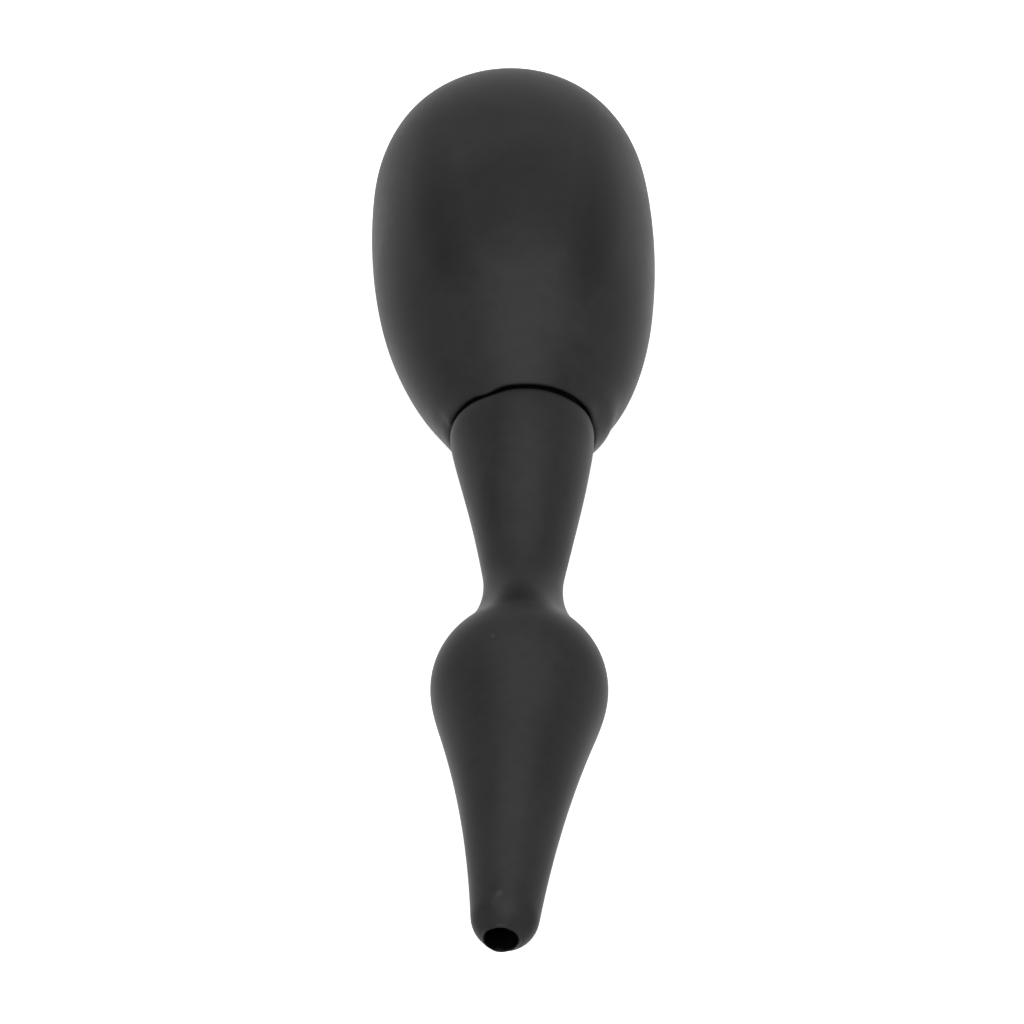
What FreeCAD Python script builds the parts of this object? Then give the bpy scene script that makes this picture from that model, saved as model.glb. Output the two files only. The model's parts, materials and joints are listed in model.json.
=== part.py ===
import FreeCAD, Part

import math
import os
from types import SimpleNamespace

import Sketcher
from FreeCAD import Placement, Rotation, Vector

# A soft squeeze bulb with a plug-in nozzle, both round about the Y axis. The origin is the
# centre of the opening at the nozzle's tip, +Y runs from the tip to the bulb's far end, and
# +Z is up. Lengths are in millimetres.
# Both mouldings bend where they are soft, so each is cut once into two solids that can move:
# the bulb's far end presses into the bulb, and the nozzle's head tilts at its neck.

SIZES = {
    # Nozzle, measured from its tip
    "opening_radius": 3.35,
    "opening_length": 12.0,
    "tip_radius": 6.85,
    "taper_arc": 292.0,
    "taper_centre_at": -20.0,
    "brow_arc": 64.0,
    "head_radius": 18.25,
    "head_at": 67.6,
    "neck_radius": 8.27,
    "neck_at": 96.1,
    "channel_radius": 4.5,
    # Nozzle's shoulder, seat and plug, measured from the plane of the bulb's mouth
    "mouth_at": 142.3,
    "shoulder_radius": 15.3,
    "shoulder_round": 1.2,
    "seat_gap": 0.3,
    "plug_radius": 12.3,
    "plug_length": 18.0,
    "plug_chamfer": 1.0,
    "rib_radius": 12.95,
    "rib_width": 2.0,
    "rib_pitch": 4.0,
    "rib_count": 3,
    "first_rib": 5.0,
    # Bulb, measured from the plane of its mouth
    "rim_radius": 16.2,
    "lip_length": 4.3,
    "flank_arc": 89.0,
    "flank_centre_at": 50.15,
    "bulb_radius": 31.0,
    "belly_arc": 161.0,
    "belly_at": 60.2,
    "back_arc": 39.3,
    "back_centre_at": 72.15,
    "corner_arc": 16.35,
    "crown_arc": 36.0,
    "bulb_length": 102.4,
    "wall": 3.0,
    "bore_radius": 13.0,
    "bore_length": 15.0,
    "mouth_flare": 2.9,
    "ramp_length": 22.0,
    # Where the mouldings are cut so that they can move
    "press_radius": 20.0,
    "press_gap": 0.1,
    "flex_radius": 9.6,
    "flex_gap": 0.06,
}
AXIS = -2  # Sketcher's number for a sketch's vertical axis
START, END, CENTRE = 1, 2, 3  # Sketcher's numbers for the points of a line or an arc
ROOT_TWO = math.sqrt(2)


class Size(float):
    """A number of millimetres that keeps its formula in terms of the sheet's cells."""

    def __new__(cls, number, formula):
        size = super().__new__(cls, number)
        size.formula = formula
        return size

    def __add__(self, other):
        return Size(float(self) + float(other), f"({self.formula} + {formula_of(other)})")

    def __sub__(self, other):
        return Size(float(self) - float(other), f"({self.formula} - {formula_of(other)})")

    def __mul__(self, other):
        return Size(float(self) * float(other), f"{self.formula} * {formula_of(other)}")

    def __truediv__(self, other):
        return Size(float(self) / float(other), f"{self.formula} / ({formula_of(other)})")


def formula_of(value):
    return getattr(value, "formula", repr(float(value)))


def make_sheet():
    """Writes the driving dimensions to the sheet, one alias to a row."""
    sheet = doc.addObject("Spreadsheet::Sheet", "Sizes")
    for row, (alias, number) in enumerate(SIZES.items(), 1):
        sheet.set(f"A{row}", alias)
        sheet.set(f"B{row}", str(number))
        sheet.setAlias(f"B{row}", alias)
    doc.recompute()
    return SimpleNamespace(**{alias: Size(n, f"Sizes.{alias}") for alias, n in SIZES.items()})


class Outline:
    """A closed outline in the XY plane. X is the radius and Y the place along the axis.
    It is drawn at its full size, and its rules then bind it to the sheet."""

    def __init__(self, body, name):
        planes = {feature.Role: feature for feature in body.Origin.OriginFeatures}
        self.sketch = body.newObject("Sketcher::SketchObject", name)
        self.sketch.AttachmentSupport = [(planes["XY_Plane"], "")]
        self.sketch.MapMode = "FlatFace"
        self.ends = []

    def line(self, start, end):
        self.sketch.addGeometry(Part.LineSegment(Vector(*start), Vector(*end)), False)
        self.ends.append((START, END))
        return len(self.ends) - 1

    def arc(self, centre, start, end, hollow=False):
        """An arc from start to end that bulges outwards, or inwards if it is hollow."""
        first, last = (end, start) if hollow else (start, end)
        from_angle, to_angle = (math.atan2(p[1] - centre[1], p[0] - centre[0]) for p in (first, last))
        if to_angle < from_angle:
            to_angle += 2 * math.pi
        circle = Part.Circle(Vector(*centre), Vector(0, 0, 1), math.dist(centre, start))
        self.sketch.addGeometry(Part.ArcOfCircle(circle, from_angle, to_angle), False)
        self.ends.append((END, START) if hollow else (START, END))
        return len(self.ends) - 1

    def corners(self, points):
        """Straight lines through the points; each has its x and y bound to the sheet."""
        lines = [self.line(*pair) for pair in zip(points, points[1:])]
        for item, (x, y) in zip(lines, points[1:]):
            self.bind(item, END, x, y)
        return lines

    def rule(self, kind, *where):
        return self.sketch.addConstraint(Sketcher.Constraint(kind, *where))

    def bind(self, item, point, x=None, y=None):
        """Binds the x and y of a point to the sheet. A point with x zero is on the axis."""
        for kind, size in (("DistanceX", x), ("DistanceY", y)):
            if kind == "DistanceX" and size == 0:
                self.rule("PointOnObject", item, point, AXIS)
            elif size is not None:
                number = self.rule(kind, item, point, float(size))
                self.sketch.setExpression(f"Constraints[{number}]", formula_of(size))

    def bind_radius(self, item, size):
        number = self.rule("Radius", item, float(size))
        self.sketch.setExpression(f"Constraints[{number}]", formula_of(size))

    def close(self, smooth):
        """Joins each item to the next, smoothly after every item listed in smooth."""
        for item, (_, last) in enumerate(self.ends):
            following = (item + 1) % len(self.ends)
            kind = "Tangent" if item in smooth else "Coincident"
            self.rule(kind, item, last, following, self.ends[following][0])

    def turn(self, kind, name):
        """Turns the outline about the Y axis into a Revolution, or a Groove that cuts."""
        body = self.sketch.getParentGeoFeatureGroup()
        feature = body.newObject(f"PartDesign::{kind}", name)
        feature.Profile = self.sketch
        feature.ReferenceAxis = (self.sketch, ["V_Axis"])
        feature.Angle = 360.0
        body.Tip = feature
        doc.recompute()
        return feature


def towards(centre, radius, other):
    """The point of a circle that lies in the direction of another point."""
    share = float(radius) / math.dist(centre, other)
    return (centre[0] + (other[0] - centre[0]) * share, centre[1] + (other[1] - centre[1]) * share)


def beside(centre, distance, y):
    """The point at this distance to the right of a centre, at this place along the axis."""
    return (centre[0] + math.sqrt(distance**2 - (y - centre[1]) ** 2), y)


def crossing(first, first_radius, second, second_radius):
    """Where two circles cross, on the right as one goes from the first to the second."""
    apart = math.dist(first, second)
    along = (apart**2 + first_radius**2 - second_radius**2) / (2 * apart)
    aside = math.sqrt(first_radius**2 - along**2)
    x, y = ((b - a) / apart for a, b in zip(first, second))
    return (first[0] + along * x + aside * y, first[1] + along * y - aside * x)


def cross_tangent(first, first_radius, second, second_radius):
    """Where a line that passes between two circles touches each of them."""
    x, y = second[0] - first[0], second[1] - first[1]
    lean = math.atan2(y, x) + math.acos((first_radius + second_radius) / math.hypot(x, y))
    unit = (math.cos(lean), math.sin(lean))
    return (
        (first[0] + first_radius * unit[0], first[1] + first_radius * unit[1]),
        (second[0] - second_radius * unit[0], second[1] - second_radius * unit[1]),
    )


def bulb_outline(body, name, inset, mouth_corners, flank_starts_at):
    """The bulb's shape drawn inset from its skin, as five arcs that run into each other:
    flank, belly, back, corner and crown. mouth_corners lead to it from the axis."""
    pole = (0.0, at.mouth_at + at.bulb_length - inset)
    belly = (at.bulb_radius - at.belly_arc, at.mouth_at + at.belly_at)
    flank = beside(belly, at.belly_arc - at.flank_arc, at.mouth_at + at.flank_centre_at)
    back = beside(belly, at.belly_arc - at.back_arc, at.mouth_at + at.back_centre_at)
    crown = (0.0, at.mouth_at + at.bulb_length - at.crown_arc)
    corner = crossing(
        crown, at.crown_arc - at.corner_arc, back, at.back_arc - at.corner_arc
    )
    start_y = at.mouth_at + flank_starts_at
    joints = (
        beside(flank, at.flank_arc - inset, start_y),
        towards(belly, at.belly_arc - inset, flank),
        towards(belly, at.belly_arc - inset, back),
        towards(back, at.back_arc - inset, corner),
        towards(crown, at.crown_arc - inset, corner),
        pole,
    )
    outline = Outline(body, name)
    straight = outline.corners([pole, *mouth_corners])
    outline.line(mouth_corners[-1], joints[0])
    arcs = [
        outline.arc(centre, start, end)
        for centre, start, end in zip((flank, belly, back, corner, crown), joints, joints[1:])
    ]
    outline.close(smooth=arcs[:-1])
    outline.bind(arcs[0], START, y=start_y)
    outline.bind(arcs[0], CENTRE, y=flank[1])
    outline.bind(arcs[1], CENTRE, *belly)
    outline.bind(arcs[2], CENTRE, y=back[1])
    outline.bind(arcs[4], CENTRE, x=0)
    outline.bind(arcs[4], END, *pole)
    radii = (at.flank_arc, at.belly_arc, at.back_arc, at.corner_arc, at.crown_arc)
    for arc, radius in zip(arcs, radii):
        outline.bind_radius(arc, radius - inset)
    return outline


def bulb_moulding():
    """The bulb: an egg-shaped wall, thick at the mouth, with a bore for the nozzle's plug
    and a flare in which the nozzle's shoulder sits."""
    body = doc.addObject("PartDesign::Body", "BulbMoulding")
    mouth = at.mouth_at
    skin_corners = [(0.0, mouth), (at.rim_radius, mouth)]
    bulb_outline(body, "SkinOutline", 0.0, skin_corners, at.lip_length).turn("Revolution", "Skin")
    bore_corners = [
        (0.0, mouth),
        (at.bore_radius + at.mouth_flare, mouth),
        (at.bore_radius, mouth + at.mouth_flare),
        (at.bore_radius, mouth + at.bore_length),
    ]
    cavity = bulb_outline(body, "CavityOutline", at.wall, bore_corners, at.ramp_length)
    cavity.turn("Groove", "Cavity")
    return body


def nozzle_outline(body):
    """The nozzle's outside, from the tip's opening to the end of the plug."""
    tip = (0.0, math.sqrt(at.tip_radius**2 - at.opening_radius**2))
    opening_edge = (at.opening_radius, 0.0)
    taper = beside(tip, at.taper_arc + at.tip_radius, at.taper_centre_at)
    head = (0.0, at.head_at)
    brow = crossing(
        head, at.brow_arc - at.head_radius, taper, at.taper_arc + at.brow_arc
    )
    reach = at.neck_at - at.head_at
    squares = reach * reach + at.neck_radius * at.neck_radius - at.head_radius * at.head_radius
    neck_arc = squares / ((at.head_radius - at.neck_radius) * 2)
    neck = (at.neck_radius + neck_arc, at.neck_at)
    shoulder_x = at.shoulder_radius - at.shoulder_round
    flare_reach = at.mouth_at + at.bore_radius + at.mouth_flare
    shoulder = (
        shoulder_x,
        flare_reach - (at.seat_gap + at.shoulder_round) * ROOT_TWO - shoulder_x,
    )
    stem_start, stem_end = cross_tangent(neck, neck_arc, shoulder, at.shoulder_round)
    seat_start = tuple(c + at.shoulder_round / ROOT_TWO for c in shoulder)
    seat_end = (at.plug_radius, seat_start[1] + seat_start[0] - at.plug_radius)
    plug_end = at.mouth_at + at.plug_length
    plug_corners = [
        seat_end,
        (at.plug_radius, plug_end - at.plug_chamfer),
        (at.plug_radius - at.plug_chamfer, plug_end),
        (0.0, plug_end),
        (0.0, 0.0),
    ]
    tip_joint = towards(tip, at.tip_radius, taper)
    brow_start = towards(taper, at.taper_arc, brow)
    brow_end = towards(brow, at.brow_arc, head)
    head_end = towards(head, at.head_radius, neck)

    outline = Outline(body, "NozzleOutline")
    opening = outline.line((0.0, 0.0), opening_edge)
    tip_arc = outline.arc(tip, opening_edge, tip_joint)
    taper_arc = outline.arc(taper, tip_joint, brow_start, hollow=True)
    brow_arc = outline.arc(brow, brow_start, brow_end)
    head_arc = outline.arc(head, brow_end, head_end)
    hollow_neck = outline.arc(neck, head_end, stem_start, hollow=True)
    stem = outline.line(stem_start, stem_end)
    shoulder_arc = outline.arc(shoulder, stem_end, seat_start)
    seat = outline.line(seat_start, seat_end)
    outline.corners(plug_corners)
    outline.close(smooth=(tip_arc, taper_arc, brow_arc, head_arc, hollow_neck, stem, shoulder_arc))
    outline.bind(opening, END, *opening_edge)
    outline.bind(tip_arc, CENTRE, x=0)
    outline.bind(taper_arc, CENTRE, y=at.taper_centre_at)
    outline.bind(head_arc, CENTRE, *head)
    outline.bind(hollow_neck, CENTRE, y=at.neck_at)
    outline.bind(shoulder_arc, CENTRE, *shoulder)
    outline.bind(seat, END, x=at.plug_radius)
    outline.rule("Angle", seat, math.radians(135))
    for arc, radius in (
        (tip_arc, at.tip_radius),
        (taper_arc, at.taper_arc),
        (brow_arc, at.brow_arc),
        (head_arc, at.head_radius),
        (hollow_neck, neck_arc),
        (shoulder_arc, at.shoulder_round),
    ):
        outline.bind_radius(arc, radius)
    return outline


def rib_outline(body):
    """A half-round rib on the plug, sunk a little into it."""
    round_radius = at.rib_width / 2
    centre = (at.rib_radius - round_radius, at.mouth_at + at.first_rib)
    low = (centre[0], centre[1] - round_radius)
    high = (centre[0], centre[1] + round_radius)
    outline = Outline(body, "RibOutline")
    bulge = outline.arc(centre, low, high)
    back = outline.line(high, low)
    outline.close(smooth=())
    outline.bind(bulge, CENTRE, *centre)
    outline.bind_radius(bulge, round_radius)
    outline.rule("PointOnObject", bulge, CENTRE, back)
    outline.rule("Vertical", back)
    return outline


def channel_outline(body):
    """The air channel: the opening's straight bore, then a wider way through to the plug."""
    wide_from = at.opening_length + at.channel_radius - at.opening_radius
    plug_end = at.mouth_at + at.plug_length
    corners = [
        (0.0, plug_end),
        (0.0, 0.0),
        (at.opening_radius, 0.0),
        (at.opening_radius, at.opening_length),
        (at.channel_radius, wide_from),
        (at.channel_radius, plug_end),
        (0.0, plug_end),
    ]
    outline = Outline(body, "ChannelOutline")
    outline.corners(corners)
    outline.close(smooth=())
    return outline


def nozzle_moulding():
    """The nozzle: one long moulding with a plug at one end and an opening at the other."""
    body = doc.addObject("PartDesign::Body", "NozzleMoulding")
    nozzle_outline(body).turn("Revolution", "Outside")
    ribs = rib_outline(body)
    rib = ribs.turn("Revolution", "Rib")
    pattern = body.newObject("PartDesign::LinearPattern", "Ribs")
    pattern.Originals = [rib]
    pattern.Direction = (ribs.sketch, ["V_Axis"])
    pattern.setExpression("Length", "Sizes.rib_pitch * (Sizes.rib_count - 1)")
    pattern.setExpression("Occurrences", "Sizes.rib_count")
    body.Tip = pattern
    doc.recompute()
    channel_outline(body).turn("Groove", "Channel")
    return body


def along_axis(cylinder, start, length, radius):
    """Lays a cylinder along the Y axis, from start, with its sizes bound to the sheet."""
    cylinder.Placement = Placement(Vector(0, float(start), 0), Rotation(Vector(1, 0, 0), -90))
    cylinder.setExpression("Placement.Base.y", formula_of(start))
    cylinder.setExpression("Height", formula_of(length))
    cylinder.setExpression("Radius", formula_of(radius))
    return cylinder


def press_zone(name, radius):
    """A round plunger shape that reaches from inside the bulb out through its far end."""
    cylinder = doc.addObject("Part::Cylinder", name)
    start = at.mouth_at + at.belly_at
    return along_axis(cylinder, start, at.bulb_length, radius)


def head_zone(name, radius):
    """All of the nozzle from its tip to the neck, ending in a ball centred in the neck."""
    ball = doc.addObject("Part::Sphere", f"{name}Ball")
    ball.setExpression("Radius", formula_of(radius))
    ball.setExpression("Placement.Base.y", "Sizes.neck_at")
    cylinder = doc.addObject("Part::Cylinder", f"{name}Cylinder")
    along_axis(cylinder, at.tip_radius * -1, at.neck_at + at.tip_radius, at.head_radius * 2)
    zone = doc.addObject("Part::Fuse", name)
    zone.Base = cylinder
    zone.Tool = ball
    return zone


def split(kind, label, moulding, zone):
    """A solid of its own: what a moulding has inside a zone (Common) or outside it (Cut)."""
    piece = doc.addObject(f"Part::{kind}", label)
    piece.Label = label
    piece.Base = moulding
    piece.Tool = zone
    piece.Placement = Placement()
    return piece


def check_and_write(pieces):
    """Stops on any failed object, then writes one STEP file for each piece."""
    doc.recompute()
    for item in doc.Objects:
        if "Invalid" in item.State or "Error" in item.State:
            raise RuntimeError(f"{item.Name} failed: {item.State}")
    for piece in pieces:
        if piece.Shape.isNull() or not piece.Shape.isValid():
            raise RuntimeError(f"{piece.Label} has no valid shape")
        if len(piece.Shape.Solids) != 1:
            raise RuntimeError(f"{piece.Label} has {len(piece.Shape.Solids)} solids")
    os.makedirs("parts", exist_ok=True)
    for piece in pieces:
        piece.Shape.exportStep(f"parts/{piece.Label}.step")
        box = piece.Shape.optimalBoundingBox()
        print(
            f"{piece.Label}: {piece.Shape.Volume:.0f} mm3,"
            f" y {box.YMin:.2f} to {box.YMax:.2f}, widest {box.XLength:.2f}"
        )


doc = FreeCAD.newDocument("squeeze_bulb")
at = make_sheet()
bulb = bulb_moulding()
nozzle = nozzle_moulding()
check_and_write(
    [
        split("Cut", "bulb", bulb, press_zone("PressHole", at.press_radius)),
        split("Common", "bulb_end", bulb, press_zone("PressPlug", at.press_radius - at.press_gap)),
        split("Cut", "nozzle", nozzle, head_zone("HeadRelief", at.flex_radius + at.flex_gap)),
        split("Common", "nozzle_head", nozzle, head_zone("HeadZone", at.flex_radius)),
    ]
)
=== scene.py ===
"""The looks of a soft squeeze bulb with a plug-in nozzle, both black silicone.

Each of the two mouldings is one closed skin, turned from an outline and then bent and worn
as the real one is. Outlines are in millimetres, as (radius, place along Y); meshes are in
metres, in the row frame.
"""

import json
import math

import bpy
import numpy as np
from mathutils import Matrix, Vector


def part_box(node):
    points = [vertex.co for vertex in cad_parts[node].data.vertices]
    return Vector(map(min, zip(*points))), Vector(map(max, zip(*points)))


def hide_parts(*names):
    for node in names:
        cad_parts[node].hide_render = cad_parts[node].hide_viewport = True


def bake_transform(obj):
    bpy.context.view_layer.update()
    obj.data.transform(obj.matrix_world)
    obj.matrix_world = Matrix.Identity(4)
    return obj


MM = 0.001

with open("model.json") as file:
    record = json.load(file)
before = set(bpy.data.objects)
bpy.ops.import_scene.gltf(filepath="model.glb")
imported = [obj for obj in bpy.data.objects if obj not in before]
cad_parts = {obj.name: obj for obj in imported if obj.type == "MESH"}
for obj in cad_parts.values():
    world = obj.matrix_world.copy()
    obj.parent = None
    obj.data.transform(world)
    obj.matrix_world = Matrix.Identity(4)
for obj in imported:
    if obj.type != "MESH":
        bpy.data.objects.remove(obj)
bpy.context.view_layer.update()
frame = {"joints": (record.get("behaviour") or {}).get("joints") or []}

# Driving places along the Y axis, in millimetres, from the frame
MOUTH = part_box("bulb")[0].y / MM
FAR_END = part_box("bulb_end")[1].y / MM
PLUG_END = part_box("nozzle")[1].y / MM
NECK = next(j for j in frame["joints"] if j["name"] == "neck_flex")["pos_m"][1] / MM

FINE_STEP = 0.08  # spacing at which outlines are first drawn
SPACING_SHARE = 0.45  # spacing that is kept, as a share of the outline's softness
SEGMENTS = 180  # columns round a skin

# Inside of the bulb, from the plane of its mouth, and inside of the nozzle, from its tip
WALL = 3.0
BORE_RADIUS = 13.0
BORE_END = 15.0
CAVITY_START = 22.0
CAVITY_SOFTNESS = 4.0
CHANNEL_RADIUS = 4.5
OPENING_RADIUS = 3.25
OPENING_LENGTH = 12.0
EDGE_RADIUS = 4.02  # where the opening's rounded edge meets the tip

# The nozzle's plug, from the plane of the mouth
PLUG_RADIUS = 12.3
PLUG_CHAMFER = 1.0
RIB_PLACES = (5.0, 9.0, 13.0)
RIB_HALF = 0.94  # half of a rib's width at its foot
RIB_ROUND = 1.0  # radius of its round crest


# ---------------------------------------------------------------- outlines


def arc_points(start, end, bend):
    """Points from start to end. A positive bend is the radius of an arc that turns left on
    the way, a negative one turns right, and zero is straight."""
    start, end = np.array(start, float), np.array(end, float)
    chord = end - start
    length = float(np.hypot(*chord))
    if bend == 0:
        count = max(2, round(length / FINE_STEP) + 1)
        return start + np.linspace(0, 1, count)[:, None] * chord
    left = np.array([-chord[1], chord[0]]) / length
    rise = math.sqrt(bend**2 - (length / 2) ** 2)
    centre = (start + end) / 2 + left * rise * math.copysign(1, bend)
    first = math.atan2(start[1] - centre[1], start[0] - centre[0])
    sweep = 2 * math.asin(length / 2 / abs(bend)) * math.copysign(1, bend)
    count = max(2, round(abs(bend * sweep) / FINE_STEP) + 1)
    angles = first + np.linspace(0, 1, count) * sweep
    return centre + abs(bend) * np.stack([np.cos(angles), np.sin(angles)], 1)


def draw(start, *stretches):
    """An outline's points, and its softness at each. A stretch is (radius, place, bend,
    softness): softness is how far the outline is rounded over at the stretch's end."""
    points = [np.array([start], float)]
    softness = [np.array([stretches[0][3]], float)]
    here = start
    for radius, place, bend, soft in stretches:
        new = arc_points(here, (radius, place), bend)[1:]
        points.append(new)
        softness.append(np.linspace(softness[-1][-1], soft, len(new) + 1)[1:])
        here = (radius, place)
    return np.concatenate(points), np.concatenate(softness)


def lengths_along(points):
    return np.concatenate([[0], np.cumsum(np.hypot(*np.diff(points, axis=0).T))])


def ease(points, softness, ends_on_axis=False):
    """Rounds an outline over by an average that is as wide as its softness there."""
    along = lengths_along(points)
    source, source_along = points, along
    if ends_on_axis:
        source = np.concatenate([points, points[-2::-1] * [-1, 1]])
        source_along = np.concatenate([along, 2 * along[-1] - along[-2::-1]])
    eased = points.copy()
    for i in range(1, len(points)):
        weight = np.exp(-0.5 * ((source_along - along[i]) / softness[i]) ** 2)
        eased[i] = weight @ source / weight.sum()
    return eased


def thin(points, softness, finest=0.12, coarsest=0.8):
    """Keeps only as many points as the outline's softness asks for."""
    along = lengths_along(points)
    kept = [0]
    for i in range(1, len(points)):
        spacing = min(max(SPACING_SHARE * softness[i], finest), coarsest)
        if along[i] - along[kept[-1]] >= spacing:
            kept.append(i)
    kept[-1] = len(points) - 1
    return points[kept]


def bulb_outline():
    """From the cavity's far end to its mouth, round the lip and along the skin."""
    points, softness = draw(
        (BORE_RADIUS, BORE_END),
        (BORE_RADIUS, 2.9, 0, 0.3),  # the bore
        (15.6, 0.15, 0, 0.22),  # the mouth's bevel
        (16.2, 0.15, 0, 0.3),  # the lip's edge
        (17.58, 4.3, 0, 1.2),  # the flared lip
        (29.42, 37.73, 89.0, 2.5),  # the flank
        (30.22, 76.01, 161.0, 2.5),  # the belly
        (26.5, 89.25, 39.3, 2.0),  # the shoulder
        (21.57, 95.22, 16.35, 2.0),  # its sharper turn
        (0.0, FAR_END - MOUTH, 36.0, 2.0),  # the crown
    )
    points = ease(points, softness, ends_on_axis=True)
    slope = np.gradient(points, axis=0)
    normal = np.stack([slope[:, 1], -slope[:, 0]], 1) / np.hypot(*slope.T)[:, None]
    inside = (points - WALL * normal)[::-1]
    inside[0, 0] = 0.0
    cavity = inside[(inside[:, 1] > CAVITY_START) & (inside[:, 0] >= 0)]
    ramp = arc_points(cavity[-1], (BORE_RADIUS, BORE_END), 0)[1:-1]
    cavity = np.concatenate([cavity, ramp])
    cavity = thin(cavity, np.full(len(cavity), CAVITY_SOFTNESS), coarsest=1.5)
    return np.concatenate([cavity, thin(points, softness)]) + [0, MOUTH]


def nozzle_outline():
    """From the channel to the opening, round the tip and back to the plug, as a loop."""
    stretches = [
        (CHANNEL_RADIUS, OPENING_LENGTH + 7.0, 0, 3.0),  # the channel, from the neck
        (CHANNEL_RADIUS, OPENING_LENGTH + 1.2, 0, 0.3),
        (OPENING_RADIUS, OPENING_LENGTH, 0, 0.3),  # its narrowing
        (OPENING_RADIUS, OPENING_LENGTH / 2, 0, 1.0),  # the opening's wall
        (OPENING_RADIUS, 0.3, 0, 0.14),
        (3.42, -0.06, 0, 0.12),  # its raised edge
        (3.75, 0.0, 0, 0.14),
        (EDGE_RADIUS, 0.48, 0, 0.3),
        (6.82, 5.38, 6.85, 0.8),  # the rounded tip
        (16.9, 60.0, -292.0, 3.0),  # the head's hollow taper
        (17.81, 63.63, 64.0, 3.0),  # its side
        (14.26, 78.99, 18.25, 1.8),  # its round back
        (8.65, 100.6, -27.4, 1.5),  # the neck
        (14.84, MOUTH - 6.85, 0, 2.0),  # the stem
        (15.28, MOUTH - 1.4, 30.0, 0.4),  # the shoulder
        (14.9, MOUTH - 0.7, 0, 0.3),
        (PLUG_RADIUS, MOUTH + 2.3, 0, 0.2),  # the conical seat
    ]
    for place in RIB_PLACES:
        stretches.append((PLUG_RADIUS, MOUTH + place - RIB_HALF, 0, 0.15))
        stretches.append((PLUG_RADIUS, MOUTH + place + RIB_HALF, RIB_ROUND, 0.15))
    stretches += [
        (PLUG_RADIUS, PLUG_END - PLUG_CHAMFER, 0, 0.2),
        (PLUG_RADIUS - PLUG_CHAMFER, PLUG_END, 0, 0.2),
        (8.0, PLUG_END, 0, 1.0),
        (CHANNEL_RADIUS, PLUG_END, 0, 0.2),
        (CHANNEL_RADIUS, PLUG_END - 4.0, 0, 3.0),
        (CHANNEL_RADIUS, NECK, 0, 3.0),
    ]
    points, softness = draw((CHANNEL_RADIUS, NECK), *stretches)
    return thin(ease(points, softness), softness, coarsest=1.2)[:-1]


# ---------------------------------------------------------------- bending and wear

# The centre line's sideways course
DRIFT = 2.4  # at the mouth, towards +X
BOW = 4.5  # how far the tip swings back from there
BOW_POWER = 1.94
LEAN = 10.2  # what the bulb's lean towards -X would grow to if the bulb were endless
LEAN_LENGTH = 206.0
MOUTH_DIP = 0.6  # a small shift of the sections next to the mouth
MOUTH_DIP_BEFORE = 11.0
MOUTH_DIP_AFTER = 7.0
MOUTH_TILT = 0.09  # slope of the mouth, whose upper edge is nearer to the tip
MOUTH_TILT_WIDTH = 10.0
LEAN_START, LEAN_STRETCH = MOUTH - 6.0, 9.0  # where the nozzle's sections take up the lean

# Waves of the soft mouldings: (share, waves round the axis, millimetres along it, phase)
WAVES = ((1.0, 2, 31.0, 0.7), (0.6, 3, -17.0, 2.1), (0.4, 5, 11.0, 4.0), (0.5, 0, 13.0, 1.3))

# The bulb's lip
LIP_DEPTH = 2.5  # how far back from its edge the lip is out of true
LIP_SHRINK = 0.15
LIP_HUG = 0.57  # how far it closes on the nozzle, except above
HUG_RIGHT = (0.5, 0.35)  # where that starts and how fast, as a sine of the angle
HUG_LEFT = (0.28, 0.18)
PINCH_AT, PINCH_WIDTH = 119.0, 7.0
LIP_PINCH = 0.3
LIP_TUCK, TUCK_AT, TUCK_WIDTH = 0.1, 165.0, 25.0
LIP_DROOP = 0.9  # how far the lower edge reaches towards the tip
LIP_DROOP_RIGHT = 1.6
DROOP_START, DROOP_REACH = 0.12, 0.5
DROOP_RIGHT_START, DROOP_RIGHT_REACH = 0.3, 0.9
LIP_SKEW = 0.027
LIP_SAGS = ((0.4, 90.0, 17.0), (0.25, 132.0, 18.0), (0.75, PINCH_AT, PINCH_WIDTH))

# The bulb's flank. Swells are (height, place, half length, angle, half width)
FLANK_SWELL, FLANK_SWELL_RIGHT, FLANK_AT, FLANK_LENGTH, FLANK_START = 0.33, 0.35, 10.0, 8.0, 5.0
FLANK_SHIFT, SHIFT_AT, SHIFT_LENGTH = 0.3, 24.0, 9.0
BULB_WAVES, BULB_WAVES_START = 0.05, 8.0
BULB_SWELLS = (
    (0.4, 4.0, 1.8, 62.0, 22.0),
    (1.2, 4.2, 2.4, -20.0, 26.0),
    (0.35, 4.0, 2.6, 200.0, 24.0),
)

# The nozzle
NOZZLE_WAVES = 0.03
WAVES_FROM_TIP, WAVES_FROM_MOUTH = 20.0, 8.0  # how far from there they are in full
NOZZLE_RINGS = ((0.12, 70.0, 9.0), (-0.2, MOUTH - 28.0, 10.0))
NOZZLE_SWELLS = ((0.3, MOUTH - 1.5, 3.0, 152.0, 18.0), (0.25, MOUTH - 1.5, 3.0, 30.0, 12.0))
NOTCH, NOTCH_AT, NOTCH_WIDTH = 0.45, 117.0, 9.0  # in the shoulder, under the lip's pinch
NOTCH_PLACE, NOTCH_LENGTH = MOUTH - 1.0, 1.5
OFF_CENTRE = 0.45  # how far the opening sits off the tip's centre, towards -X
OFF_CENTRE_WITHIN, OFF_CENTRE_FADE = EDGE_RADIUS + 0.28, 0.6  # in radius
OFF_CENTRE_END, OFF_CENTRE_STRETCH = OPENING_LENGTH + 2.0, 4.0  # along the channel
EDGE_LENGTH = 0.9  # how far in from the tip the opening's edge is ragged
EDGE_RIPPLES = ((0.07, 3, 0.5), (0.05, 7, 2.0))  # (height, waves round the edge, phase)
EDGE_NICK, NICK_AT, NICK_WIDTH = 0.2, 82.0, 5.0


def smooth(t):
    t = np.clip(t, 0, 1)
    return t * t * (3 - 2 * t)


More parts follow.
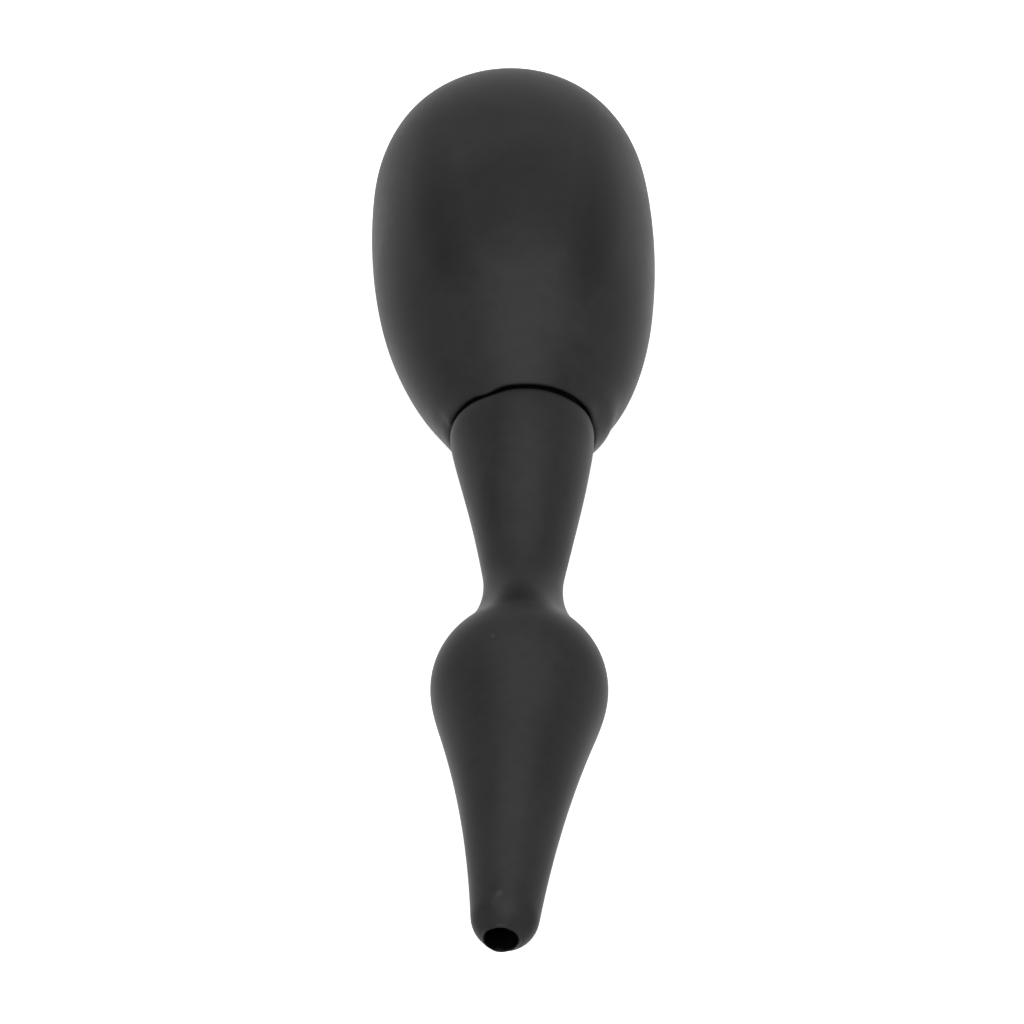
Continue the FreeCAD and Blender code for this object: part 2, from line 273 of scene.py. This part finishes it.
def bend(x, y, z, leaning):
    """Moves points with the object's bent centre line, and turns each section to stay square
    to it. Leaning says how much of the bulb's lean a section at the mouth takes."""
    before = np.clip((MOUTH - y) / MOUTH, 0, None)
    after = np.clip(y - MOUTH, 0, None)
    offset = DRIFT - BOW * before**BOW_POWER - LEAN * (1 - np.exp(-after / LEAN_LENGTH))
    dip_width = np.where(y < MOUTH, MOUTH_DIP_BEFORE, MOUTH_DIP_AFTER)
    offset = offset - MOUTH_DIP * bump(y, MOUTH, dip_width)
    slope = BOW * BOW_POWER / MOUTH * before ** (BOW_POWER - 1)
    slope = slope - leaning * LEAN / LEAN_LENGTH * np.exp(-after / LEAN_LENGTH)
    tilt = MOUTH_TILT * bump(y, MOUTH, MOUTH_TILT_WIDTH)
    return x + offset, y - slope * x - tilt * (z - BORE_RADIUS), z


def bump(x, centre, width):
    return np.exp(-0.5 * ((x - centre) / width) ** 2)


def around(angle, centre, width):
    """A bump round the axis, with the angles in degrees from +X towards +Z."""
    apart = (angle - centre + 180) % 360 - 180
    return np.exp(-0.5 * (apart / width) ** 2)


def below(angle, start, reach):
    """0 on the upper side and 1 on the lower. The change starts where the sine of the angle
    falls to one value, and takes a reach of it."""
    return smooth((start - np.sin(np.radians(angle))) / reach)


def unevenness(angle, y, size):
    """The slow waviness of a soft moulding."""
    a = np.radians(angle)
    return size * sum(
        share * np.sin(count * a + y / length + phase) for share, count, length, phase in WAVES
    )


def wear_bulb(radius, angle, y):
    """The lip hugs the nozzle below, stands off it above, and is pinched at one place."""
    s = y - MOUTH
    near = np.exp(-np.clip(s, 0, None) / LIP_DEPTH)
    to_right = np.cos(np.radians(angle))
    pinch = around(angle, PINCH_AT, PINCH_WIDTH)
    hugging = np.where(to_right > 0, below(angle, *HUG_RIGHT), below(angle, *HUG_LEFT))
    tight = LIP_HUG * hugging + LIP_PINCH * pinch + LIP_TUCK * around(angle, TUCK_AT, TUCK_WIDTH)

    radius = radius + unevenness(angle, y, BULB_WAVES) * np.clip(s / BULB_WAVES_START, 0, 1)
    flank = bump(s, FLANK_AT, FLANK_LENGTH) * smooth(s / FLANK_START)
    radius = radius + flank * (FLANK_SWELL + FLANK_SWELL_RIGHT * to_right)
    radius = radius + FLANK_SHIFT * bump(s, SHIFT_AT, SHIFT_LENGTH) * to_right
    for height, place, length, direction, width in BULB_SWELLS:
        radius = radius + height * bump(s, place, length) * around(angle, direction, width)
    radius = radius - near * (LIP_SHRINK + tight)

    sag = sum(depth * around(angle, direction, width) for depth, direction, width in LIP_SAGS)
    droop = LIP_DROOP * below(angle, DROOP_START, DROOP_REACH)
    droop_right = LIP_DROOP_RIGHT * below(angle, DROOP_RIGHT_START, DROOP_RIGHT_REACH)
    droop = droop + droop_right * np.clip(to_right, 0, 1)
    y = y + near * (LIP_SHRINK - sag - droop - LIP_SKEW * radius * to_right)
    return radius, y


def wear_nozzle(radius, angle, y):
    """The opening is off centre and its edge a little ragged, and the skin slightly uneven."""
    a = np.radians(angle)
    clear = np.clip(y / WAVES_FROM_TIP, 0, 1) * np.clip((MOUTH - y) / WAVES_FROM_MOUTH, 0, 1)
    radius = radius + unevenness(angle, y, NOZZLE_WAVES) * clear
    for height, place, length in NOZZLE_RINGS:
        radius = radius + height * bump(y, place, length)
    for height, place, length, direction, width in NOZZLE_SWELLS:
        radius = radius + height * bump(y, place, length) * around(angle, direction, width)
    inside = smooth((OFF_CENTRE_WITHIN - radius) / OFF_CENTRE_FADE)
    inside = inside * smooth((OFF_CENTRE_END - y) / OFF_CENTRE_STRETCH)
    radius = radius - OFF_CENTRE * np.cos(a) * inside
    ragged = sum(height * np.sin(count * a + phase) for height, count, phase in EDGE_RIPPLES)
    ragged = ragged + EDGE_NICK * around(angle, NICK_AT, NICK_WIDTH)
    notch = NOTCH * around(angle, NOTCH_AT, NOTCH_WIDTH) * bump(y, NOTCH_PLACE, NOTCH_LENGTH)
    return radius + ragged * np.exp(-((y / EDGE_LENGTH) ** 2)), y - notch


def bulb_leaning(y):
    return np.ones_like(y)


def nozzle_leaning(y):
    return smooth((y - LEAN_START) / LEAN_STRETCH)


# ---------------------------------------------------------------- skins


def band_faces(low, high):
    """Four-sided faces between two rings, given as their numbers."""
    faces = []
    for j in range(SEGMENTS):
        k = (j + 1) % SEGMENTS
        first, last = low * SEGMENTS, high * SEGMENTS
        faces.append((first + j, last + j, last + k, first + k))
    return faces


def fan_faces(centre, ring, backwards):
    """Triangles from a vertex on the axis to the ring next to it."""
    faces = []
    for j in range(SEGMENTS):
        k = (j + 1) % SEGMENTS
        edge = (ring * SEGMENTS + j, ring * SEGMENTS + k)
        faces.append((centre, *edge[::-1]) if backwards else (centre, *edge))
    return faces


def skin(name, points, wear, leaning):
    """Turns an outline round the axis, wears it, and bends it along the centre line.
    The outline is a loop, or has both its ends on the axis."""
    angle = np.arange(SEGMENTS) * 360.0 / SEGMENTS
    radius, wide_angle = np.meshgrid(points[:, 0], angle, indexing="ij")
    y = np.repeat(points[:, 1][:, None], SEGMENTS, 1)
    radius, y = wear(radius, wide_angle, y)
    a = np.radians(wide_angle)
    x, z = radius * np.cos(a), radius * np.sin(a)
    grid = np.stack(bend(x, y, z, leaning(y)), -1) * MM

    poles = [i for i in (0, len(points) - 1) if points[i, 0] < 1e-9]
    rings = [i for i in range(len(points)) if i not in poles]
    vertices = [tuple(v) for i in rings for v in grid[i]]
    faces = []
    pairs = list(zip(range(len(rings)), range(1, len(rings))))
    if not poles:
        pairs.append((len(rings) - 1, 0))
    for low, high in pairs:
        faces += band_faces(low, high)
    for pole in poles:
        vertices.append(tuple(grid[pole].mean(0)))
        ring = 0 if pole == 0 else len(rings) - 1
        faces += fan_faces(len(vertices) - 1, ring, backwards=pole != 0)
    mesh = bpy.data.meshes.new(name)
    mesh.from_pydata(vertices, [], faces)
    mesh.validate()
    rest = mesh.attributes.new("rest", "FLOAT_VECTOR", "POINT")
    rest.data.foreach_set("vector", (np.array(vertices) / MM).ravel())
    mesh.shade_smooth()
    obj = bpy.data.objects.new(name, mesh)
    bpy.context.scene.collection.objects.link(obj)
    return obj


# ---------------------------------------------------------------- materials


MARK_HEIGHT = 5.0  # how far up and down a mark reaches


class Look:
    """A material's node tree, with short ways to add and join nodes."""

    def __init__(self, name):
        self.material = bpy.data.materials.new(name)
        self.material.use_nodes = True
        self.tree = self.material.node_tree
        self.shader = self.tree.nodes["Principled BSDF"]
        place = self.tree.nodes.new("ShaderNodeAttribute")
        place.attribute_name = "rest"
        self.place = place.outputs["Vector"]  # millimetres, and moves with the skin

    def add(self, kind, result, **inputs):
        node = self.tree.nodes.new(kind)
        for key, value in inputs.items():
            self.set(node.inputs[key.replace("_", " ")], value)
        return node.outputs[result]

    def set(self, socket, value):
        if isinstance(value, bpy.types.NodeSocket):
            self.tree.links.new(value, socket)
        else:
            socket.default_value = value

    def noise(self, scale, detail):
        return self.add("ShaderNodeTexNoise", "Fac", Vector=self.place, Scale=scale, Detail=detail)

    def layers(self, noises):
        """A first noise, and finer ones added to it by their shares."""
        (scale, detail, _), *finer = noises
        total = self.noise(scale, detail)
        for scale, detail, share in finer:
            total = self.maths("ADD", total, self.maths("MULTIPLY", self.noise(scale, detail), share))
        return total

    def spread(self, value, low, high, to_low, to_high):
        """Maps a value's range low..high onto to_low..to_high, without going outside it."""
        node = self.tree.nodes.new("ShaderNodeMapRange")
        self.set(node.inputs["Value"], value)
        self.set(node.inputs["From Min"], low)
        self.set(node.inputs["From Max"], high)
        self.set(node.inputs["To Min"], to_low)
        self.set(node.inputs["To Max"], to_high)
        return node.outputs["Result"]

    def maths(self, operation, first, second):
        node = self.tree.nodes.new("ShaderNodeMath")
        node.operation = operation
        self.set(node.inputs[0], first)
        self.set(node.inputs[1], second)
        return node.outputs["Value"]

    def vector_maths(self, operation, first, second, result="Vector"):
        node = self.tree.nodes.new("ShaderNodeVectorMath")
        node.operation = operation
        self.set(node.inputs[0], first)
        self.set(node.inputs[1], second)
        return node.outputs[result]

    def mark(self, centre, along, length, width):
        """1 at a place on the skin and fading to 0 round it, longer one way than the other."""
        away = self.vector_maths("SUBTRACT", self.place, centre)
        along = Vector(along).normalized()
        across = Vector((along.y, -along.x, 0))
        far = self.vector_maths("DOT_PRODUCT", away, along / length, "Value")
        aside = self.vector_maths("DOT_PRODUCT", away, across / width, "Value")
        apart = self.maths("ADD", self.maths("POWER", far, 2.0), self.maths("POWER", aside, 2.0))
        high = self.vector_maths("DOT_PRODUCT", away, (0, 0, 1 / MARK_HEIGHT), "Value")
        apart = self.maths("ADD", apart, self.maths("POWER", high, 2.0))
        return self.spread(apart, 0.0, 1.0, 1.0, 0.0)

    def from_axis(self, centre):
        """Distance in millimetres from a line that runs along Y through a place."""
        away = self.vector_maths("SUBTRACT", self.place, centre)
        flat = self.vector_maths("MULTIPLY", away, (1, 0, 1))
        return self.vector_maths("LENGTH", flat, (0, 0, 0), "Value")

    def dust(self, spacing, size, share):
        """1 inside sparse round specks."""
        node = self.tree.nodes.new("ShaderNodeTexVoronoi")
        self.set(node.inputs["Vector"], self.place)
        node.inputs["Scale"].default_value = 1 / spacing
        inner, outer = 0.5 * size / spacing, 0.9 * size / spacing
        speck = self.spread(node.outputs["Distance"], inner, outer, 1.0, 0.0)
        chosen = self.maths("LESS_THAN", node.outputs["Color"], share)
        return self.maths("MULTIPLY", speck, chosen)


# Clouds: (waves per millimetre, detail, share), from broad to fine
CLOUDS = ((0.055, 3.0, 1.0), (0.4, 2.0, 0.5))
CLOUD_RANGE = (0.5, 1.0)  # what the clouds' sum runs between
CLOUD_SHADES = (0.84, 1.16)
CLOUD_ROUGHNESS = (0.42, 0.5)
GRAIN = ((4.0, 3.0, 1.0), (0.9, 2.0, 0.6))
GRAIN_STRENGTH = 0.35
GRAIN_HEIGHT = 0.00003  # metres
DUST_SPACING, DUST_SIZE, DUST_SHARE, DUST_STRENGTH = 7.0, 0.16, 0.3, 0.35
DUST_COLOUR = (0.3, 0.3, 0.3, 1)
HOLE_RANGE = (3.3, 3.75)  # from the opening's wall out to its edge
HOLE_LIGHT = 0.1
SILICONE_IOR = 1.43
SPECULAR_LEVEL = 0.5


def silicone(name, base, marks_and_painted_light=(), painted_shades=(), hole=None):
    """Matte black silicone: a fine moulded grain, faint clouding, a little dust, and paler
    spots, each as (centre, direction, length, width, strength): streaks where something has
    brushed it, or painted light. Darker spots of the same kind are painted shade. A hole is a
    place on the axis of a deep narrow opening, where little light reaches."""
    look = Look(name)
    cloud = look.layers(CLOUDS)
    shade = look.spread(cloud, *CLOUD_RANGE, *CLOUD_SHADES)
    # painted shade: each of these darkens the colour where shade falls
    for *place, strength in painted_shades:
        dimmed = look.spread(look.mark(*place), 0.0, 1.0, 1.0, 1.0 - strength)
        shade = look.maths("MULTIPLY", shade, dimmed)
    # painted shade: the opening's wall is darkened and loses its gloss
    if hole:
        open_air = look.spread(look.from_axis(hole), *HOLE_RANGE, HOLE_LIGHT, 1.0)
        shade = look.maths("MULTIPLY", shade, open_air)
        gloss = look.maths("MULTIPLY", open_air, SPECULAR_LEVEL)
        look.set(look.shader.inputs["Specular IOR Level"], gloss)
    dust = look.dust(DUST_SPACING, DUST_SIZE, DUST_SHARE)
    pale = look.maths("MULTIPLY", dust, DUST_STRENGTH)
    # painted light or brushed streaks: each of these makes the colour paler
    for *place, strength in marks_and_painted_light:
        pale = look.maths("ADD", pale, look.maths("MULTIPLY", look.mark(*place), strength))
    plain = look.vector_maths("SCALE", base, (0, 0, 0))
    look.set(plain.node.inputs["Scale"], shade)
    colour = look.add("ShaderNodeMixRGB", "Color", Fac=pale, Color1=plain, Color2=DUST_COLOUR)
    look.set(look.shader.inputs["Base Color"], colour)
    look.set(look.shader.inputs["Roughness"], look.spread(cloud, *CLOUD_RANGE, *CLOUD_ROUGHNESS))
    look.set(look.shader.inputs["IOR"], SILICONE_IOR)
    raised = look.add(
        "ShaderNodeBump",
        "Normal",
        Height=look.layers(GRAIN),
        Strength=GRAIN_STRENGTH,
        Distance=GRAIN_HEIGHT,
    )
    look.set(look.shader.inputs["Normal"], raised)
    return look.material


# ---------------------------------------------------------------- pieces

BLACK = (0.034, 0.034, 0.035)
NOZZLE_MARKS = (  # two brushed streaks near the tip, and a speck on the head
    ((-3.5, 5.3, 6.65), (0.52, 0.85, 0), 2.1, 1.0, 0.04),
    ((-2.9, 6.1, 6.7), (0.52, 0.85, 0), 1.0, 0.75, 0.06),
    ((-4.3, 66.3, 17.4), (1, 0, 0), 0.5, 0.5, 0.12),
)
NOZZLE_PAINTED_SHADES = (  # painted shade: darker in the hollow of the neck, and along the stem
    ((-0.2, 83.5, 10.9), (1, 0, 0), 6.0, 9.0, 0.6),
    ((-5.8, 112.0, 9.0), (0, 1, 0), 12.0, 3.6, 0.3),
)
BULB_PAINTED_LIGHT = (((0.0, 224.0, 28.6), (1, 0, 0), 30.0, 13.0, 0.045),)  # painted light that makes the back paler
BULB_PAINTED_SHADES = (  # painted shade: darker on the top, and in a band along each side
    ((0.0, 182.0, 30.0), (1, 0, 0), 22.0, 22.0, 0.25),
    ((-18.0, 180.0, 25.0), (0, 1, 0), 42.0, 11.0, 0.32),
    ((18.5, 186.0, 24.0), (0, 1, 0), 36.0, 12.0, 0.32),
)
OPENING_CENTRE = (float(bend(0, np.float64(0), 0, 0)[0]) - OFF_CENTRE, 0, 0)

bulb = skin("bulb_skin", bulb_outline(), wear_bulb, bulb_leaning)
bulb.data.materials.append(silicone("bulb_silicone", BLACK, BULB_PAINTED_LIGHT, BULB_PAINTED_SHADES))
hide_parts("bulb", "bulb_end")
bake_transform(bulb)

nozzle = skin("nozzle_skin", nozzle_outline(), wear_nozzle, nozzle_leaning)
nozzle_look = silicone("nozzle_silicone", BLACK, NOZZLE_MARKS, NOZZLE_PAINTED_SHADES, OPENING_CENTRE)
nozzle.data.materials.append(nozzle_look)
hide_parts("nozzle", "nozzle_head")
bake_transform(nozzle)


# ---------------------------------------------------------------- stage

VIEW_ELEVATION = math.radians(44.5)
VIEW_DISTANCE = 1277.0  # millimetres
LENS = 211.0
SENSOR = 36.0
AIM_RIGHT = -0.40
AIM_BELOW_MOUTH = 16.0  # how far down the picture the aim is from the mouth

# How grey the world looks in a reflection: 0 is behind the object, 1 is at the camera
WORLD_GREYS = (
    (0.0, 1.0),
    (0.07, 0.95),
    (0.13, 0.63),
    (0.2, 0.47),
    (0.284, 0.34),
    (0.4, 0.145),
    (0.54, 0.063),
    (0.75, 0.09),
    (1.0, 0.135),
)
WORLD_STRENGTH = 1.12
SIDES_DARKER = 0.08  # how much nearer to the camera's side the two sides count

FLOOR_REACH = 6.0  # metres
FLOOR_GREY = 0.8
FLOOR_GLOW = 0.65  # on the object
FLOOR_GLOW_SEEN = 0.9  # in the picture, where it all but drowns the shadow
FLOOR_ROUGHNESS = 0.9

SOFTBOX_PLACE = (0.12, 0.25, 1.5)
SOFTBOX_SIZE = 2.2
SOFTBOX_POWER = 6.0
FILL_STRENGTH = 1.5
FILL_ANGLE = math.radians(60)
FILL_DIRECTION = Vector((0, 0.35, -0.94))

look = Vector((0, math.cos(VIEW_ELEVATION), -math.sin(VIEW_ELEVATION)))
up = Vector((0, math.sin(VIEW_ELEVATION), math.cos(VIEW_ELEVATION)))
aim = Vector((AIM_RIGHT, MOUTH, 0)) - up * AIM_BELOW_MOUTH


def make_camera():
    data = bpy.data.cameras.new("camera")
    data.sensor_width = SENSOR
    data.lens = LENS
    data.clip_start, data.clip_end = 0.05, 20
    camera = bpy.data.objects.new("camera", data)
    right = Vector((1, 0, 0))
    turned = Matrix((right, up, -look)).transposed().to_4x4()
    camera.matrix_world = Matrix.Translation((aim - look * VIEW_DISTANCE) * MM) @ turned
    bpy.context.scene.collection.objects.link(camera)
    bpy.context.scene.camera = camera


def grey_by_direction(nodes, links):
    """The world's grey, from how far a ray's direction points to the camera's side."""
    place = nodes.new("ShaderNodeTexCoord")
    facing = nodes.new("ShaderNodeVectorMath")
    facing.operation = "DOT_PRODUCT"
    facing.inputs[1].default_value = -look
    links.new(place.outputs["Generated"], facing.inputs[0])
    half = nodes.new("ShaderNodeMapRange")
    half.inputs["From Min"].default_value = -1
    half.inputs["From Max"].default_value = 1
    links.new(facing.outputs["Value"], half.inputs["Value"])
    sideways = nodes.new("ShaderNodeSeparateXYZ")
    links.new(place.outputs["Generated"], sideways.inputs["Vector"])
    squared = nodes.new("ShaderNodeMath")
    squared.operation = "POWER"
    squared.inputs[1].default_value = 2.0
    links.new(sideways.outputs["X"], squared.inputs[0])
    darker = nodes.new("ShaderNodeMath")
    darker.operation = "MULTIPLY_ADD"
    darker.inputs[1].default_value = SIDES_DARKER
    links.new(squared.outputs["Value"], darker.inputs[0])
    links.new(half.outputs["Result"], darker.inputs[2])
    ramp = nodes.new("ShaderNodeValToRGB")
    ramp.color_ramp.interpolation = "EASE"
    while len(ramp.color_ramp.elements) < len(WORLD_GREYS):
        ramp.color_ramp.elements.new(0.5)
    for element, (position, grey) in zip(ramp.color_ramp.elements, WORLD_GREYS):
        element.position = position
        element.color = (grey, grey, grey, 1)
    links.new(darker.outputs["Value"], ramp.inputs["Fac"])
    return ramp.outputs["Color"]


def make_world():
    """White all round the object, and greyer on the side that the camera stands."""
    world = bpy.data.worlds.new("studio")
    bpy.context.scene.world = world
    world.use_nodes = True
    nodes, links = world.node_tree.nodes, world.node_tree.links
    background = nodes["Background"]
    background.inputs["Strength"].default_value = WORLD_STRENGTH
    ray = nodes.new("ShaderNodeLightPath")
    pick = nodes.new("ShaderNodeMixRGB")
    pick.inputs["Color2"].default_value = (1, 1, 1, 1)
    links.new(ray.outputs["Is Camera Ray"], pick.inputs["Fac"])
    links.new(grey_by_direction(nodes, links), pick.inputs["Color1"])
    links.new(pick.outputs["Color"], background.inputs["Color"])


def make_floor():
    """A plain pale floor that the bulb lies on, which doesn't show in reflections, and which
    glows more for the camera than for the object."""
    mesh = bpy.data.meshes.new("floor")
    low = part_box("bulb")[0].z
    corners = [(x * FLOOR_REACH, y * FLOOR_REACH, low) for x, y in ((-1, -1), (1, -1), (1, 1), (-1, 1))]
    mesh.from_pydata(corners, [], [(0, 1, 2, 3)])
    floor = bpy.data.objects.new("floor", mesh)
    bpy.context.scene.collection.objects.link(floor)
    material = bpy.data.materials.new("floor_white")
    material.use_nodes = True
    nodes, links = material.node_tree.nodes, material.node_tree.links
    shader = nodes["Principled BSDF"]
    shader.inputs["Base Color"].default_value = (FLOOR_GREY, FLOOR_GREY, FLOOR_GREY, 1)
    shader.inputs["Roughness"].default_value = FLOOR_ROUGHNESS
    shader.inputs["Specular IOR Level"].default_value = 0.0
    shader.inputs["Emission Color"].default_value = (1, 1, 1, 1)
    ray = nodes.new("ShaderNodeLightPath")
    glow = nodes.new("ShaderNodeMapRange")
    glow.inputs["To Min"].default_value = FLOOR_GLOW
    glow.inputs["To Max"].default_value = FLOOR_GLOW_SEEN
    links.new(ray.outputs["Is Camera Ray"], glow.inputs["Value"])
    links.new(glow.outputs["Result"], shader.inputs["Emission Strength"])
    mesh.materials.append(material)
    floor.visible_glossy = False


def make_softbox():
    """A round soft light overhead that looks at the bulb's mouth."""
    data = bpy.data.lights.new("overhead", "AREA")
    data.shape = "DISK"
    data.size = SOFTBOX_SIZE
    data.energy = SOFTBOX_POWER
    light = bpy.data.objects.new("overhead", data)
    light.location = SOFTBOX_PLACE
    light.rotation_mode = "QUATERNION"
    centre = Vector((0, MOUTH * MM, 0))
    light.rotation_quaternion = (centre - Vector(SOFTBOX_PLACE)).to_track_quat("-Z", "Y")
    bpy.context.scene.collection.objects.link(light)


def make_fill():
    """Light from the camera's side and above that shows no glint of its own."""
    data = bpy.data.lights.new("fill", "SUN")
    data.energy = FILL_STRENGTH
    data.angle = FILL_ANGLE
    light = bpy.data.objects.new("fill", data)
    light.rotation_mode = "QUATERNION"
    light.rotation_quaternion = FILL_DIRECTION.to_track_quat("-Z", "Y")
    light.visible_glossy = False
    bpy.context.scene.collection.objects.link(light)


make_camera()
make_world()
make_floor()
make_softbox()
make_fill()
bpy.context.scene.view_settings.view_transform = "Standard"
